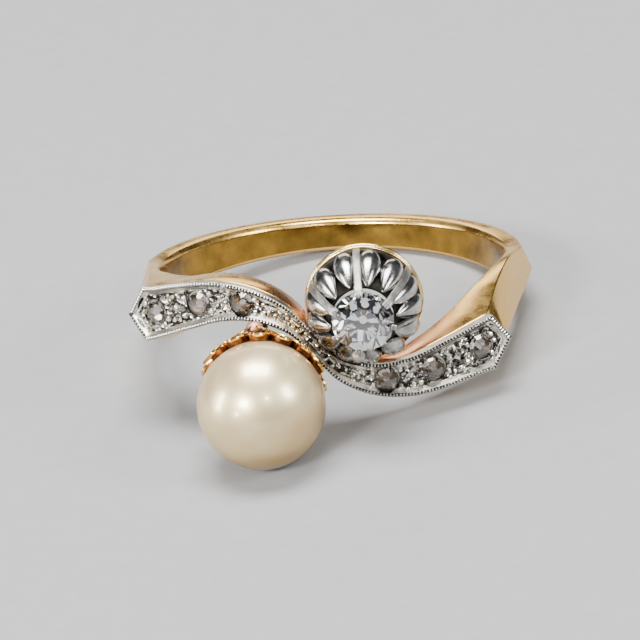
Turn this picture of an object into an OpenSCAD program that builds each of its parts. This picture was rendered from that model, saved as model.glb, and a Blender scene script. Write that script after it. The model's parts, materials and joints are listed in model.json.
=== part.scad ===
// Toi et moi ring: a pearl and a round diamond side by side in the two bends of an S shaped band.
// The ring is drawn upright, finger axis along Z and head towards -Y, and then laid on its side.

/* [Finger ring] */
// Inner diameter, where the finger goes
finger_d = 17; // [15:0.5:22]
// Width of the band at the back of the finger
back_w = 1.65; // [1.4:0.05:2.4]
// Thickness of the band at the back
back_t = 1.0; // [0.8:0.05:1.5]
// Thickness of the band at the shoulder ridge, where the flat cheek begins
ridge_t = 0.9; // [0.8:0.05:1.4]
// Angle from the middle of the head round to the shoulder ridge
ridge_a = 98; // [88:1:108]
// Width of the band where the cheek is widest
cheek_w = 3.3; // [2.8:0.05:3.8]
// How far the ridge along the middle of the cheek stands out over its edges, at the shoulder
cheek_crest = 0.45; // [0.2:0.05:0.6]
// Break of the two edges of the finger hole
edge_break = 0.25; // [0.15:0.01:0.35]

/* [S band] */
// Angle from the crossing to each pointed end
point_a = 53; // [48:0.5:56]
// Height of the band's middle line over the ring's middle at its fullest
s_rise = 2.05; // [1.7:0.05:2.3]
// Width of the band at the crossing, along the finger
cross_w = 1.26; // [1.2:0.02:1.6]
// Width of the band at the pointed ends
end_w = 2.75; // [2.4:0.05:3.1]
// Depth from the finger hole to the face of the band at the crossing
cross_t = 1.8; // [1.6:0.05:2.2]
// Depth from the finger hole to the face of the band at the pointed ends
point_t = 3.2; // [2.8:0.05:3.6]
// Thickness of the platinum plate on the band
plate_t = 0.45; // [0.35:0.01:0.55]
// Width of the raised rail along each edge of the plate
rail_w = 0.2; // [0.12:0.01:0.3]
// Depth of the field between the rails
field_t = 0.16; // [0.08:0.01:0.2]

/* [Rose cuts] */
// Diameter of each small stone in the plate
rose_d = 1.22; // [0.9:0.02:1.24]
// Height of each small stone
rose_h = 0.48; // [0.36:0.02:0.6]

/* [Diamond and its crown] */
// Diameter of the round diamond
diamond_d = 3.2; // [2.6:0.05:3.3]
// Radius of the crown at its back rim
rim_r = 2.84; // [2.6:0.02:2.9]
// Distance from the back rim to the girdle of the diamond
crown_h = 2.75; // [2.4:0.05:3.1]
// Room from the middle of the crossing to the edge of the crown, seen from the front
crown_room = 0.18; // [0.12:0.02:0.5]
// Direction of the crown from the middle of the crossing, seen from the front
crown_dir = 35.8; // [30:0.2:40]
// Turn of the crown's axis towards the right
crown_turn = 4; // [0:0.5:6]
// Nod of the crown's axis down towards the pearl
crown_nod = 2.5; // [0:0.5:4]
// Length of the gold collet behind the crown
collet_l = 0.5; // [0.35:0.05:0.7]
// Width of a claw
claw_w = 0.4; // [0.3:0.02:0.46]

/* [Pearl and its cup] */
// Diameter of the pearl
pearl_d = 6.2; // [5.6:0.1:6.8]
// Room from the middle of the crossing to the edge of the pearl, seen from the front
pearl_room = 0.22; // [0.2:0.02:0.6]
// Direction of the pearl from the middle of the crossing, seen from the front
pearl_dir = 223; // [218:1:232]
// Wall of the gold cup
cup_wall = 0.3; // [0.22:0.01:0.4]
// Reach of the petals, as an angle round the pearl from the middle of its back
petal_a = 58; // [50:1:64]
// Nod of the cup, so that it holds the pearl from behind and above
cup_nod = 24; // [15:1:32]
// Number of petals round the cup
petals = 14; // [12:1:16]

/* [Clearances] */
// Gap between two pieces that are soldered or seated together
joint_gap = 0.03; // [0.02:0.01:0.06]
// Least metal between the finger hole and what is seated beside the band
finger_wall = 0.22; // [0.15:0.01:0.4]

/* [Rest] */
// Angle round the band, from the head, at which it touches the table
rest_a = 158; // [140:1:180]

/* [Hidden] */
$fn = 64;

gold = [0.86, 0.70, 0.42];
rosy_gold = [0.80, 0.56, 0.34];
platinum = [0.74, 0.73, 0.70];

bore_r = finger_d / 2;
pearl_r = pearl_d / 2;
diamond_r = diamond_d / 2;
rose_r = rose_d / 2;
corner_a = 0.912 * point_a;

// The band's course on the right half, from the crossing round to the back.
// Columns: angle from the head, height of the middle line, width along the finger.
cheek_a = ridge_a - corner_a;
back_a = 180 - ridge_a;
course = [
    [0,                          0,              cross_w],
    [0.10 * point_a,            -0.52 * s_rise,  1.05 * cross_w],
    [0.19 * point_a,            -0.78 * s_rise,  1.15 * cross_w],
    [0.29 * point_a,            -0.94 * s_rise,  1.27 * cross_w],
    [0.38 * point_a,            -1.00 * s_rise,  0.64 * end_w],
    [0.50 * point_a,            -0.99 * s_rise,  0.73 * end_w],
    [0.61 * point_a,            -0.89 * s_rise,  0.82 * end_w],
    [0.73 * point_a,            -0.74 * s_rise,  0.89 * end_w],
    [0.85 * point_a,            -0.57 * s_rise,  0.95 * end_w],
    [corner_a,                  -0.50 * s_rise,  end_w],
    [corner_a + 0.14 * cheek_a, -0.34 * s_rise,  0.93 * cheek_w],
    [corner_a + 0.25 * cheek_a, -0.24 * s_rise,  0.99 * cheek_w],
    [corner_a + 0.44 * cheek_a, -0.11 * s_rise,  cheek_w],
    [corner_a + 0.65 * cheek_a, -0.03 * s_rise,  0.94 * cheek_w],
    [ridge_a,                    0,              0.72 * cheek_w],
    [ridge_a + 0.20 * back_a,    0,              1.30 * back_w],
    [ridge_a + 0.48 * back_a,    0,              1.16 * back_w],
    [ridge_a + 0.76 * back_a,    0,              1.04 * back_w],
    [180,                        0,              back_w]
];

// The left half is the right half turned half a turn about the head's axis.
mirrored = [for (i = [len(course) - 1 : -1 : 1]) [-course[i][0], -course[i][1], course[i][2]]];
round_course = concat(mirrored, course);

// Smooth curve through one column of a table whose first column is the angle
function row_slope(table, i, col) =
    i <= 0 || i >= len(table) - 1 ? 0
    : (table[i + 1][col] - table[i - 1][col]) / (table[i + 1][0] - table[i - 1][0]);
function row_before(table, a, i = 0) =
    i >= len(table) - 2 || a < table[i + 1][0] ? i : row_before(table, a, i + 1);
function smooth(table, col, a) =
    let (i = row_before(table, a),
         span = table[i + 1][0] - table[i][0],
         t = (a - table[i][0]) / span)
    (2 * t * t * t - 3 * t * t + 1) * table[i][col]
    + (t * t * t - 2 * t * t + t) * span * row_slope(table, i, col)
    + (3 * t * t - 2 * t * t * t) * table[i + 1][col]
    + (t * t * t - t * t) * span * row_slope(table, i + 1, col);

function middle(a) = smooth(round_course, 1, a);
function width(a) = smooth(round_course, 2, a);
function top_z(a) = middle(a) + width(a) / 2;
function low_z(a) = middle(a) - width(a) / 2;

// Outer radius of the S band's face. It grows towards the ends, which makes the head flatter.
face_power = 3;
function face_r(a) = bore_r + cross_t + (point_t - cross_t) * pow(abs(a) / point_a, face_power);
function polar(a, r) = [r * sin(a), -r * cos(a)];
// Radius at angle a of the straight line through the points p and q
function line_r(a, p, q) =
    let (d = q - p, u = polar(a, 1))
    (p[0] * d[1] - p[1] * d[0]) / (u[0] * d[1] - u[1] * d[0]);

// Outer radius of the gold: under the plate, along the cheek and round the back.
// The cheek is two flat facets that meet on a ridge, from the plate's point to the shoulder.
function under_r(a) = face_r(a) - plate_t;
function back_r(a) = bore_r + ridge_t + (back_t - ridge_t) * (abs(a) - ridge_a) / back_a;
function outer_r(a, start_a, crest) =
    abs(a) <= start_a ? under_r(a)
    : abs(a) <= ridge_a
        ? line_r(abs(a), polar(start_a, under_r(start_a)), polar(ridge_a, back_r(ridge_a) + crest))
    : back_r(a) + crest * pow((180 - abs(a)) / back_a, 2);
function edge_r(a) = outer_r(a, corner_a, 0);
function gold_r(a) = outer_r(a, point_a, cheek_crest);
function point_mid(a) =
    abs(a) <= corner_a ? middle(a)
    : abs(a) >= ridge_a ? 0
    : middle(sign(a) * corner_a) * (ridge_a - abs(a)) / cheek_a;

// Angles of the sections: along the S band, along a cheek and round the back
arm_steps = 20;
end_steps = 3;
cheek_steps = 12;
back_steps = 26;
function spread(from, to, steps) = [for (i = [1 : steps]) from + (to - from) * i / steps];
half_arm = concat(spread(0, corner_a, arm_steps), spread(corner_a, point_a, end_steps));
half_angles = concat(half_arm, spread(point_a, ridge_a, cheek_steps), spread(ridge_a, 180, back_steps));
half_count = len(half_angles);
ring_angles = concat([for (i = [half_count - 2 : -1 : 0]) -half_angles[i]], [0], half_angles);
arm_angles = concat([for (i = [len(half_arm) - 1 : -1 : 0]) -half_arm[i]], [0], half_arm);

// A closed solid through sections of equal length, each a list of [radius, height] at its angle
module loft(angles, sections, closed) {
    n = len(angles);
    m = len(sections[0]);
    points = [for (i = [0 : n - 1]) for (p = sections[i]) [each polar(angles[i], p[0]), p[1]]];
    sides = [for (i = [0 : closed ? n - 1 : n - 2]) for (j = [0 : m - 1])
        let (i2 = (i + 1) % n, j2 = (j + 1) % m)
        each [[i * m + j, i * m + j2, i2 * m + j2], [i * m + j, i2 * m + j2, i2 * m + j]]];
    caps = closed ? [] : [[for (j = [m - 1 : -1 : 0]) j], [for (j = [0 : m - 1]) (n - 1) * m + j]];
    polyhedron(points = points, faces = concat(sides, caps), convexity = 10);
}

// The inner side of each section stands this far inside the finger hole, which then cuts it away
inside = 0.25;
function gold_section(a) =
    let (r = edge_r(a), lo = low_z(a), hi = top_z(a), slope = edge_break + inside)
    [[bore_r - inside, lo + slope], [bore_r + edge_break, lo], [r, lo], [gold_r(a), point_mid(a)],
     [r, hi], [bore_r + edge_break, hi], [bore_r - inside, hi - slope]];

// Places of the two heads, seen from the front, and the frames they are drawn in
crown_reach = rim_r + crown_room;
crown_x = crown_reach * cos(crown_dir);
crown_z = crown_reach * sin(crown_dir);
collet_r = rim_r + 0.06;
collet_y = -(bore_r + finger_wall);
pearl_reach = pearl_r + pearl_room;
pearl_x = pearl_reach * cos(pearl_dir);
pearl_z = pearl_reach * sin(pearl_dir);
cup_r = pearl_r + joint_gap + cup_wall;
cup_back = bore_r + 3.3 * finger_wall;
pearl_y = -sqrt(cup_back * cup_back - pearl_x * pearl_x) - cup_r;

// Local Z points out of the head
module at_crown() {
    translate([crown_x, collet_y, crown_z]) rotate([0, 0, crown_turn]) rotate([90 + crown_nod, 0, 0])
        children();
}
module at_pearl() {
    translate([pearl_x, pearl_y, pearl_z]) rotate([90 + cup_nod, 0, 0]) children();
}

// How the ring lies: the band's lower edge at rest_a and the pearl both touch the table.
function unit(v) = v / norm(v);
function edge_point(a) = [each polar(a, edge_r(a)), low_z(a)];
rest_step = 1;
touch = edge_point(rest_a);
along = unit(edge_point(rest_a + rest_step) - edge_point(rest_a - rest_step));
to_pearl = [pearl_x, pearl_y, pearl_z] - touch;
side_u = unit(to_pearl - along * (to_pearl * along));
side_v = cross(along, side_u);
lift_a = acos(pearl_r / norm(to_pearl - along * (to_pearl * along)));
table_n = side_u * cos(lift_a) + side_v * sin(lift_a);
rest_tilt = acos(table_n[2]);
rest_dir = atan2(table_n[1], table_n[0]);
// The whole ring's reach once laid down, to bring its middle over the origin
function turned(v, about, a) = v * cos(a) + cross(about, v) * sin(a) + about * (about * v) * (1 - cos(a));
tilt_axis = [-sin(rest_dir), cos(rest_dir), 0];
function laid_point(v) = turned(v, tilt_axis, -rest_tilt);
laid_band = [for (a = ring_angles) each [for (r_z = gold_section(a))
    laid_point([each polar(a, r_z[0]), r_z[1]])]];
laid_pearl = laid_point([pearl_x, pearl_y, pearl_z]);
shift = [-(min([for (v = laid_band) v[0]]) + max([for (v = laid_band) v[0]])) / 2,
         -(laid_pearl[1] - pearl_r + max([for (v = laid_band) v[1]])) / 2,
         pearl_r - laid_pearl[2]];
module laid() {
    translate(shift) rotate([0, 0, rest_dir]) rotate([0, -rest_tilt, 0]) rotate([0, 0, -rest_dir])
        children();
}

// Room cut beside the band for the crown, which narrows in front of its collet, and for the pearl
module seats(crown_cut_r) {
    at_crown() translate([0, 0, -collet_l]) cylinder(h = collet_l + crown_h, r = crown_cut_r + joint_gap);
    at_pearl() sphere(r = cup_r + joint_gap);
}

module shank() {
    color(gold) laid() difference() {
        loft(ring_angles, [for (a = ring_angles) gold_section(a)], true);
        cylinder(h = 4 * (s_rise + cheek_w), r = bore_r, center = true);
        seats(collet_r);
    }
}

// The plate: a flat base with a raised rail along both edges and round the pointed ends
function plate_half(a) =
    abs(a) <= corner_a ? width(a) / 2
    : max(width(corner_a) / 2 * (point_a - abs(a)) / (point_a - corner_a), 0.02);
function plate_middle(a) =
    abs(a) <= corner_a ? middle(a)
    : middle(sign(a) * corner_a) * (1 - end_drop * (abs(a) - corner_a) / (point_a - corner_a));
end_drop = 0.11;
end_rail = 1.5;
function plate_section(a) =
    let (base = under_r(a) + joint_gap, face = face_r(a), mid = plate_middle(a), half = plate_half(a),
         rail = abs(a) <= corner_a ? rail_w : rail_w * end_rail,
         inner = max(half - rail, 0.01), foot = max(inner - field_t, 0.005),
         depth = min(field_t, inner))
    [[base, mid - half], [face, mid - half], [face, mid - inner], [face - depth, mid - foot],
     [face - depth, mid + foot], [face, mid + inner], [face, mid + half], [base, mid + half]];

// Places of the small stones: angle as a share of point_a, mirrored to the left half
rose_shares = [0.365, 0.61, 0.86];
rose_angles = [for (s = [-1, 1]) for (share = rose_shares) s * share * point_a];
// Lean of the face against the circle round the finger, so that each stone is square to the face
lean_step = 1;
function face_lean(a) =
    atan((face_r(a + lean_step) - face_r(a - lean_step)) / norm(polar(a + lean_step, face_r(a))
        - polar(a - lean_step, face_r(a))));
module at_rose(a) {
    translate([each polar(a, under_r(a) + joint_gap), middle(a)]) rotate([90, 0, a - face_lean(a)]) children();
}
pocket_floor = 0.1;
// The crown in front of its collet, as a share of its rim
crown_front = 0.98;
module platinum_plate() {
    color(platinum) laid() difference() {
        loft(arm_angles, [for (a = arm_angles) plate_section(a)], false);
        for (a = rose_angles) at_rose(a) translate([0, 0, pocket_floor])
            cylinder(h = 2 * plate_t, r = rose_r + joint_gap);
        seats(crown_front * rim_r);
    }
}

// A pyramid of flat facets through the points p and q, each [radius, height], from low to high
function cone_r(p, q, z) = max(p[0] + (q[0] - p[0]) * (z - p[1]) / (q[1] - p[1]), 0.001);
module facets(sides, p, q, low, high, turn = 0) {
    rotate([0, 0, turn]) translate([0, 0, low])
        cylinder(h = high - low, r1 = cone_r(p, q, low), r2 = cone_r(p, q, high), $fn = sides);
}

// A rose cut: flat back, twelve steep facets, six flat ones and a small table
rose_edge = 0.25 * rose_h;
rose_turn = 15;
module rose_cut() {
    intersection() {
        cylinder(h = rose_h, r = rose_r, $fn = 12);
        facets(12, [rose_r, rose_edge], [0.66 * rose_r, 0.7 * rose_h], 0, rose_h);
        facets(6, [0.8 * rose_r, 0.6 * rose_h], [0.24 * rose_r, rose_h], 0, rose_h, rose_turn);
    }
}
module rose(i) {
    color("gainsboro") laid() at_rose(rose_angles[i - 1])
        translate([0, 0, pocket_floor + joint_gap]) rose_cut();
}

// How far a cutter goes past what it cuts, and the holes behind the stone as shares of the rim
past = 1;
collet_open = 0.8;
crown_open_back = 0.82;
crown_open_front = 0.52;
module diamond_collet() {
    color(gold) laid() at_crown() difference() {
        cylinder(h = collet_l, r = collet_r);
        translate([0, 0, -past]) cylinder(h = collet_l + 2 * past, r = collet_open * rim_r);
    }
}

// The crown: fluted lobes round an open middle, and flat claws that rise over them to the stone
claw_angles = [-10, 36, 94, 154, 206, 259];
lobe_points = 7;
lobe_count = 2;
claw_base = collet_l + joint_gap;
girdle_z = claw_base + crown_h;
lobe_top = 0.8 * crown_h;
lobe_steps = 8;
flute_t = 0.7;
function crown_gap(i) =
    (i + 1 < len(claw_angles) ? claw_angles[i + 1] : claw_angles[0] + 360) - claw_angles[i];
// Each entry: angle round the crown and how far the surface stands out there, from 0 to 1
lobe_ring = [for (i = [0 : len(claw_angles) - 1])
    let (lobes = crown_gap(i) > 70 ? lobe_count + 1 : lobe_count,
         free = crown_gap(i) - 10)
    each [for (k = [0 : lobes - 1]) each [for (p = [0 : lobe_points - 1])
        let (t = -1 + 2 * (p + 0.5) / lobe_points)
        [claw_angles[i] + 5 + free * (k + 0.5 + 0.47 * t) / lobes, sqrt(1 - t * t)]]]];
function lobe_r(share) = rim_r * (1 - 0.3 * pow(share, 1.5));
module fluted_wall() {
    m = len(lobe_ring);
    points = [for (s = [0 : lobe_steps]) let (share = s / lobe_steps) for (q = lobe_ring)
        let (r = lobe_r(share) - flute_t * (1 - q[1]) * (0.35 + 0.65 * sqrt(share)),
             rise = lobe_top * share - 0.35 * share * (1 - q[1]))
        [r * cos(q[0]), r * sin(q[0]), claw_base + rise]];
    sides = [for (s = [0 : lobe_steps - 1]) for (j = [0 : m - 1]) let (j2 = (j + 1) % m)
        each [[s * m + j, (s + 1) * m + j2, s * m + j2], [s * m + j, (s + 1) * m + j, (s + 1) * m + j2]]];
    caps = [[for (j = [0 : m - 1]) j], [for (j = [m - 1 : -1 : 0]) lobe_steps * m + j]];
    polyhedron(points = points, faces = concat(sides, caps), convexity = 10);
}
claw_t = 0.29;
// A claw's course: distance from the crown's axis and height
claw_course = [
    [0.93 * rim_r,                   claw_base + 0.75 * claw_t],
    [0.96 * lobe_r(0.5),             claw_base + 0.5 * lobe_top],
    [0.94 * lobe_r(1),               claw_base + lobe_top],
    [diamond_r + 0.5 * claw_t + joint_gap, girdle_z],
    [diamond_r - 0.1,                girdle_z + 0.32]
];
module claw() {
    for (i = [0 : len(claw_course) - 2]) hull() for (p = [claw_course[i], claw_course[i + 1]])
        translate([p[0], 0, p[1]]) rotate([0, 30, 0]) cube([claw_t, claw_w, claw_t], center = true);
}
module diamond_crown() {
    color(platinum) laid() at_crown() difference() {
        union() {
            difference() {
                fluted_wall();
                translate([0, 0, claw_base - past])
                    cylinder(h = lobe_top + 2 * past, r1 = crown_open_back * rim_r, r2 = crown_open_front * rim_r);
            }
            for (a = claw_angles) rotate([0, 0, a]) claw();
        }
        translate([0, 0, girdle_z]) stone_room();
    }
}

// The round stone. Over the girdle it has eight main facets, eight star facets and sixteen small ones,
// and under the girdle eight main and sixteen small ones.
table_share = 0.53;
crown_share = 0.36;
pavilion_share = 0.84;
girdle_share = 0.03;
module brilliant(r) {
    top = crown_share * r;
    bottom = -pavilion_share * r;
    edge = girdle_share * r;
    fan = 360 / 16;
    intersection() {
        facets(8, [r, edge], [table_share * r, top], bottom, top, fan / 2);
        facets(8, [0.8 * r, 0.7 * top], [0.98 * table_share * r, top], bottom, top, 1.5 * fan);
        facets(8, [r, edge], [0.88 * r, 0.42 * top], bottom, top, 0);
        facets(8, [r, edge], [0.88 * r, 0.42 * top], bottom, top, fan);
        facets(8, [r, -edge], [0.12 * r, bottom], bottom, top, fan / 2);
        facets(8, [r, -edge], [0.8 * r, 0.26 * bottom], bottom, top, 0);
        facets(8, [r, -edge], [0.8 * r, 0.26 * bottom], bottom, top, fan);
        for_girdle(r, bottom, top, fan);
    }
}
module for_girdle(r, bottom, top, fan) {
    intersection() {
        translate([0, 0, bottom]) cylinder(h = top - bottom, r = r, $fn = 8);
        translate([0, 0, bottom]) rotate([0, 0, fan]) cylinder(h = top - bottom, r = r, $fn = 8);
    }
}
module stone_room() {
    brilliant(diamond_r + joint_gap);
}
module centre_diamond() {
    color("white") laid() at_crown() translate([0, 0, girdle_z]) brilliant(diamond_r);
}

// The cup: a shell round the back of the pearl, scalloped and pierced into petals, with a lug up to
// the underside of the band
notch_a = 13;
petal_points = 6;
cup_steps = 5;
cup_floor_a = 9;
pierce_r = 0.3;
pierce_drop = 20;
cup_angles = [for (i = [0 : petals * petal_points - 1]) 360 * i / (petals * petal_points)];
// Reach of the rim at angle t round the cup: round petals with a notch between neighbours
function rim_a(t) =
    let (share = abs(2 * (t * petals / 360 - floor(t * petals / 360)) - 1))
    petal_a - notch_a * (1 - sqrt(1 - pow(share, 3)));
function on_cup(r, t, a) = [r * sin(a) * cos(t), r * sin(a) * sin(t), -r * cos(a)];
module petal_shell() {
    m = len(cup_angles);
    n = 2 * (cup_steps + 1);
    points = [for (s = [0 : n - 1])
        let (outside = s <= cup_steps, share = (outside ? s : n - 1 - s) / cup_steps)
        for (t = cup_angles)
            on_cup(outside ? cup_r : share > 0 ? cup_r - cup_wall : (cup_r - cup_wall) / cos(cup_floor_a),
                   t, cup_floor_a + (rim_a(t) - cup_floor_a) * share)];
    sides = [for (s = [0 : n - 2]) for (j = [0 : m - 1]) let (j2 = (j + 1) % m)
        each [[s * m + j, (s + 1) * m + j2, s * m + j2], [s * m + j, (s + 1) * m + j, (s + 1) * m + j2]]];
    caps = [[for (j = [0 : m - 1]) j], [for (j = [m - 1 : -1 : 0]) (n - 1) * m + j]];
    polyhedron(points = points, faces = concat(sides, caps), convexity = 10);
}
// Turns local Z to the direction that stands at angle a from the middle of the pearl's back
module from_back(a) {
    rotate([0, 180 - a, 0]) children();
}
lug_a = -0.3 * point_a;
lug_r = 0.36;
lug_reach = gold_r(lug_a) - lug_r;
lug_half_a = asin(lug_r / lug_reach);
lug_top = min(low_z(lug_a - lug_half_a), low_z(lug_a + lug_half_a)) - joint_gap;
module pearl_cup() {
    color(rosy_gold) laid() union() {
        at_pearl() difference() {
            petal_shell();
            for (i = [0 : petals - 1]) rotate([0, 0, 360 * (i + 0.5) / petals])
                from_back(petal_a - pierce_drop) cylinder(h = 2 * cup_r, r = pierce_r, $fn = 8);
        }
        difference() {
            translate([each polar(lug_a, lug_reach), pearl_z]) cylinder(h = lug_top - pearl_z, r = lug_r);
            at_pearl() sphere(r = cup_r - 0.6 * cup_wall);
        }
    }
}
module pearl() {
    color("ivory") laid() at_pearl() sphere(r = pearl_r);
}

shank();
platinum_plate();
rose(1);  // rose_1
rose(2);  // rose_2
rose(3);  // rose_3
rose(4);  // rose_4
rose(5);  // rose_5
rose(6);  // rose_6
diamond_collet();
diamond_crown();
centre_diamond();
pearl_cup();
pearl();
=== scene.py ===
import json
import math

import bpy
from mathutils import Matrix, Vector


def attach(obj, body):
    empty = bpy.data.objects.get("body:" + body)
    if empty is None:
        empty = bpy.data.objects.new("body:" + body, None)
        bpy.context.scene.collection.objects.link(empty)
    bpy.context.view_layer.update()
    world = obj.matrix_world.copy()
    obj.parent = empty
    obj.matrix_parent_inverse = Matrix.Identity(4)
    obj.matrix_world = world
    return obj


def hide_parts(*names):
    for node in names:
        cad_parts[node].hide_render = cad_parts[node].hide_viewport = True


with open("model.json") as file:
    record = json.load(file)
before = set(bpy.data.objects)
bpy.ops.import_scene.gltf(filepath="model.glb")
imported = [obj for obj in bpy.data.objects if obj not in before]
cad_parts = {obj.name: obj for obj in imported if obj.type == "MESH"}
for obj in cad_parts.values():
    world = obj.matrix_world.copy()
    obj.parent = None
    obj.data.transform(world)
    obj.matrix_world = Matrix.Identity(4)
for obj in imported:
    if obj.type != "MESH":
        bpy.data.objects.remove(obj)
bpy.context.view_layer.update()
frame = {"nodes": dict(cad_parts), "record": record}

# The band: one bent and soldered length of yellow gold, narrow at the back of the finger, with a
# flat filed cheek at each shoulder. Under the head it is the gold body of the S shaped bypass, cut
# away beside the diamond's crown and the pearl's cup.
mm_per_m = 1000
bore = frame["record"]["mounts"][0]
bore_r = bore["dims"]["r_mm"]
lying_axis = Vector(bore["axis"])
lying = (Matrix.Translation(Vector(bore["pos_m"]))
         @ Vector((0, 0, 1)).rotation_difference(lying_axis).to_matrix().to_4x4()
         @ Matrix.Scale(1 / mm_per_m, 4))

# degrees round the finger from the head to the facing's point and corner and to the cheek's ridge
point_a, corner_share, ridge_a = 53.0, 0.912, 98.0
corner_a = corner_share * point_a
cheek_a = ridge_a - corner_a
back_a = 180.0 - ridge_a
# how far the S swings, and the band's width at the crossing, the facing's ends, the cheeks and the back
s_rise, cross_w, end_w, cheek_w, back_w = 2.05, 1.26, 2.75, 3.3, 1.65
# thickness of gold and facing together at the crossing and the points, and of the facing alone
cross_t, point_t, plate_t = 1.8, 3.2, 0.45
ridge_t, back_t, cheek_crest, edge_break = 0.9, 1.0, 0.45, 0.25
# the middle of a broken edge, as shares of edge_break out from the bore and in from the side
break_out, break_in = 0.4, 0.3
# angle from the head, height of the middle line, width along the finger
course = [
    (0.0, 0.0, cross_w),
    (0.10 * point_a, -0.52 * s_rise, 1.05 * cross_w),
    (0.19 * point_a, -0.78 * s_rise, 1.15 * cross_w),
    (0.29 * point_a, -0.94 * s_rise, 1.27 * cross_w),
    (0.38 * point_a, -1.00 * s_rise, 0.64 * end_w),
    (0.50 * point_a, -0.99 * s_rise, 0.73 * end_w),
    (0.61 * point_a, -0.89 * s_rise, 0.82 * end_w),
    (0.73 * point_a, -0.74 * s_rise, 0.89 * end_w),
    (0.85 * point_a, -0.57 * s_rise, 0.95 * end_w),
    (corner_a, -0.50 * s_rise, end_w),
    (corner_a + 0.14 * cheek_a, -0.34 * s_rise, 0.93 * cheek_w),
    (corner_a + 0.25 * cheek_a, -0.24 * s_rise, 0.99 * cheek_w),
    (corner_a + 0.44 * cheek_a, -0.11 * s_rise, cheek_w),
    (corner_a + 0.65 * cheek_a, -0.03 * s_rise, 0.94 * cheek_w),
    (ridge_a, 0.0, 0.72 * cheek_w),
    (ridge_a + 0.20 * back_a, 0.0, 1.30 * back_w),
    (ridge_a + 0.48 * back_a, 0.0, 1.16 * back_w),
    (ridge_a + 0.76 * back_a, 0.0, 1.04 * back_w),
    (180.0, 0.0, back_w),
]
left_course = [(-angle, -height, wide) for angle, height, wide in reversed(course[1:])]
round_course = left_course + course


def smooth(rows, column, angle):
    """A column's value at this angle, on a smooth curve through the rows."""
    last = len(rows) - 1
    i = max(k for k in range(last) if k == 0 or rows[k][0] <= angle)

    def rise_at(k):
        if k <= 0 or k >= last:
            return 0.0
        return (rows[k + 1][column] - rows[k - 1][column]) / (rows[k + 1][0] - rows[k - 1][0])

    span = rows[i + 1][0] - rows[i][0]
    t = (angle - rows[i][0]) / span
    rise = t * t * (3 - 2 * t)
    return (rows[i][column] * (1 - rise) + rows[i + 1][column] * rise
            + span * rise_at(i) * t * (1 - t) ** 2 - span * rise_at(i + 1) * t * t * (1 - t))


def middle(angle):
    return smooth(round_course, 1, angle)


def width(angle):
    return smooth(round_course, 2, angle)


def turned(degrees, axis, size=4):
    return Matrix.Rotation(math.radians(degrees), size, axis)


def polar(angle, radius, height=0.0):
    """The place at this angle round the finger, this far out and this high along it."""
    turn = math.radians(angle)
    return Vector((radius * math.sin(turn), -radius * math.cos(turn), height))


def line_r(angle, start, end):
    """How far out the straight line from start to end lies at this angle."""
    along = end - start
    out = polar(angle, 1)
    return (start.x * along.y - start.y * along.x) / (out.x * along.y - out.y * along.x)


def face_r(angle):
    return bore_r + cross_t + (point_t - cross_t) * (abs(angle) / point_a) ** 3


def outer_r(angle, start_a, crest):
    """The gold's outside: under the facing, then a flat cheek from start_a to the ridge, then the back."""
    angle = abs(angle)
    back = bore_r + ridge_t + (back_t - ridge_t) * (angle - ridge_a) / back_a
    if angle <= start_a:
        return face_r(angle) - plate_t
    if angle <= ridge_a:
        return line_r(angle, polar(start_a, face_r(start_a) - plate_t),
                      polar(ridge_a, bore_r + ridge_t + crest))
    return back + crest * ((180 - angle) / back_a) ** 2


def ridge_height(angle):
    if abs(angle) <= corner_a:
        return middle(angle)
    if abs(angle) >= ridge_a:
        return 0.0
    return middle(math.copysign(corner_a, angle)) * (ridge_a - abs(angle)) / cheek_a


def gold_section(angle):
    low = middle(angle) - width(angle) / 2
    high = middle(angle) + width(angle) / 2
    edge = outer_r(angle, corner_a, 0.0)
    crest = outer_r(angle, point_a, cheek_crest)
    mid = ridge_height(angle)
    broken_r = bore_r + break_out * edge_break
    return [(bore_r, low + edge_break), (broken_r, low + break_in * edge_break),
            (bore_r + edge_break, low), (edge, low), (crest, mid), (edge, high),
            (bore_r + edge_break, high), (broken_r, high - break_in * edge_break),
            (bore_r, high - edge_break), (bore_r, (low + high) / 2)]


def alone(piece):
    bpy.ops.object.select_all(action="DESELECT")
    piece.select_set(True)
    bpy.context.view_layer.objects.active = piece


def added(plain_shape, **sizes):
    """One of Blender's plain shapes, added with nothing else selected."""
    bpy.ops.object.select_all(action="DESELECT")
    plain_shape(**sizes)
    return bpy.context.object


def globe(segments, rings, radius=1):
    return added(bpy.ops.mesh.primitive_uv_sphere_add, segments=segments, ring_count=rings,
                 radius=radius)


def blank_ring(around, across):
    """A torus with this many points round it and across it, each to be moved to its own place."""
    return added(bpy.ops.mesh.primitive_torus_add, major_segments=around, minor_segments=across,
                 major_radius=10, minor_radius=1)


def paint(piece, materials):
    piece.data.materials.clear()
    for material in materials:
        piece.data.materials.append(material)
    return piece


def loft(name, angles, section, closed, materials, strips):
    """A torus whose rings of points are moved onto the sections round the finger. Strips names the
    strips between two points of a section that don't take the first material."""
    count = len(section(angles[0]))
    piece = paint(blank_ring(len(angles), count), materials)
    piece.name = name
    for i, angle in enumerate(angles):
        for j, (radius, height) in enumerate(section(angle)):
            piece.data.vertices[i * count + j].co = polar(angle, radius, height)
    for face in piece.data.polygons:
        points = {vertex % count for vertex in face.vertices}
        strip = min(points) if max(points) - min(points) == 1 else count - 1
        face.material_index = strips.get(strip, 0)
    if not closed:
        cut_open(piece, len(angles), count)
    outward(piece)
    return piece


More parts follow.
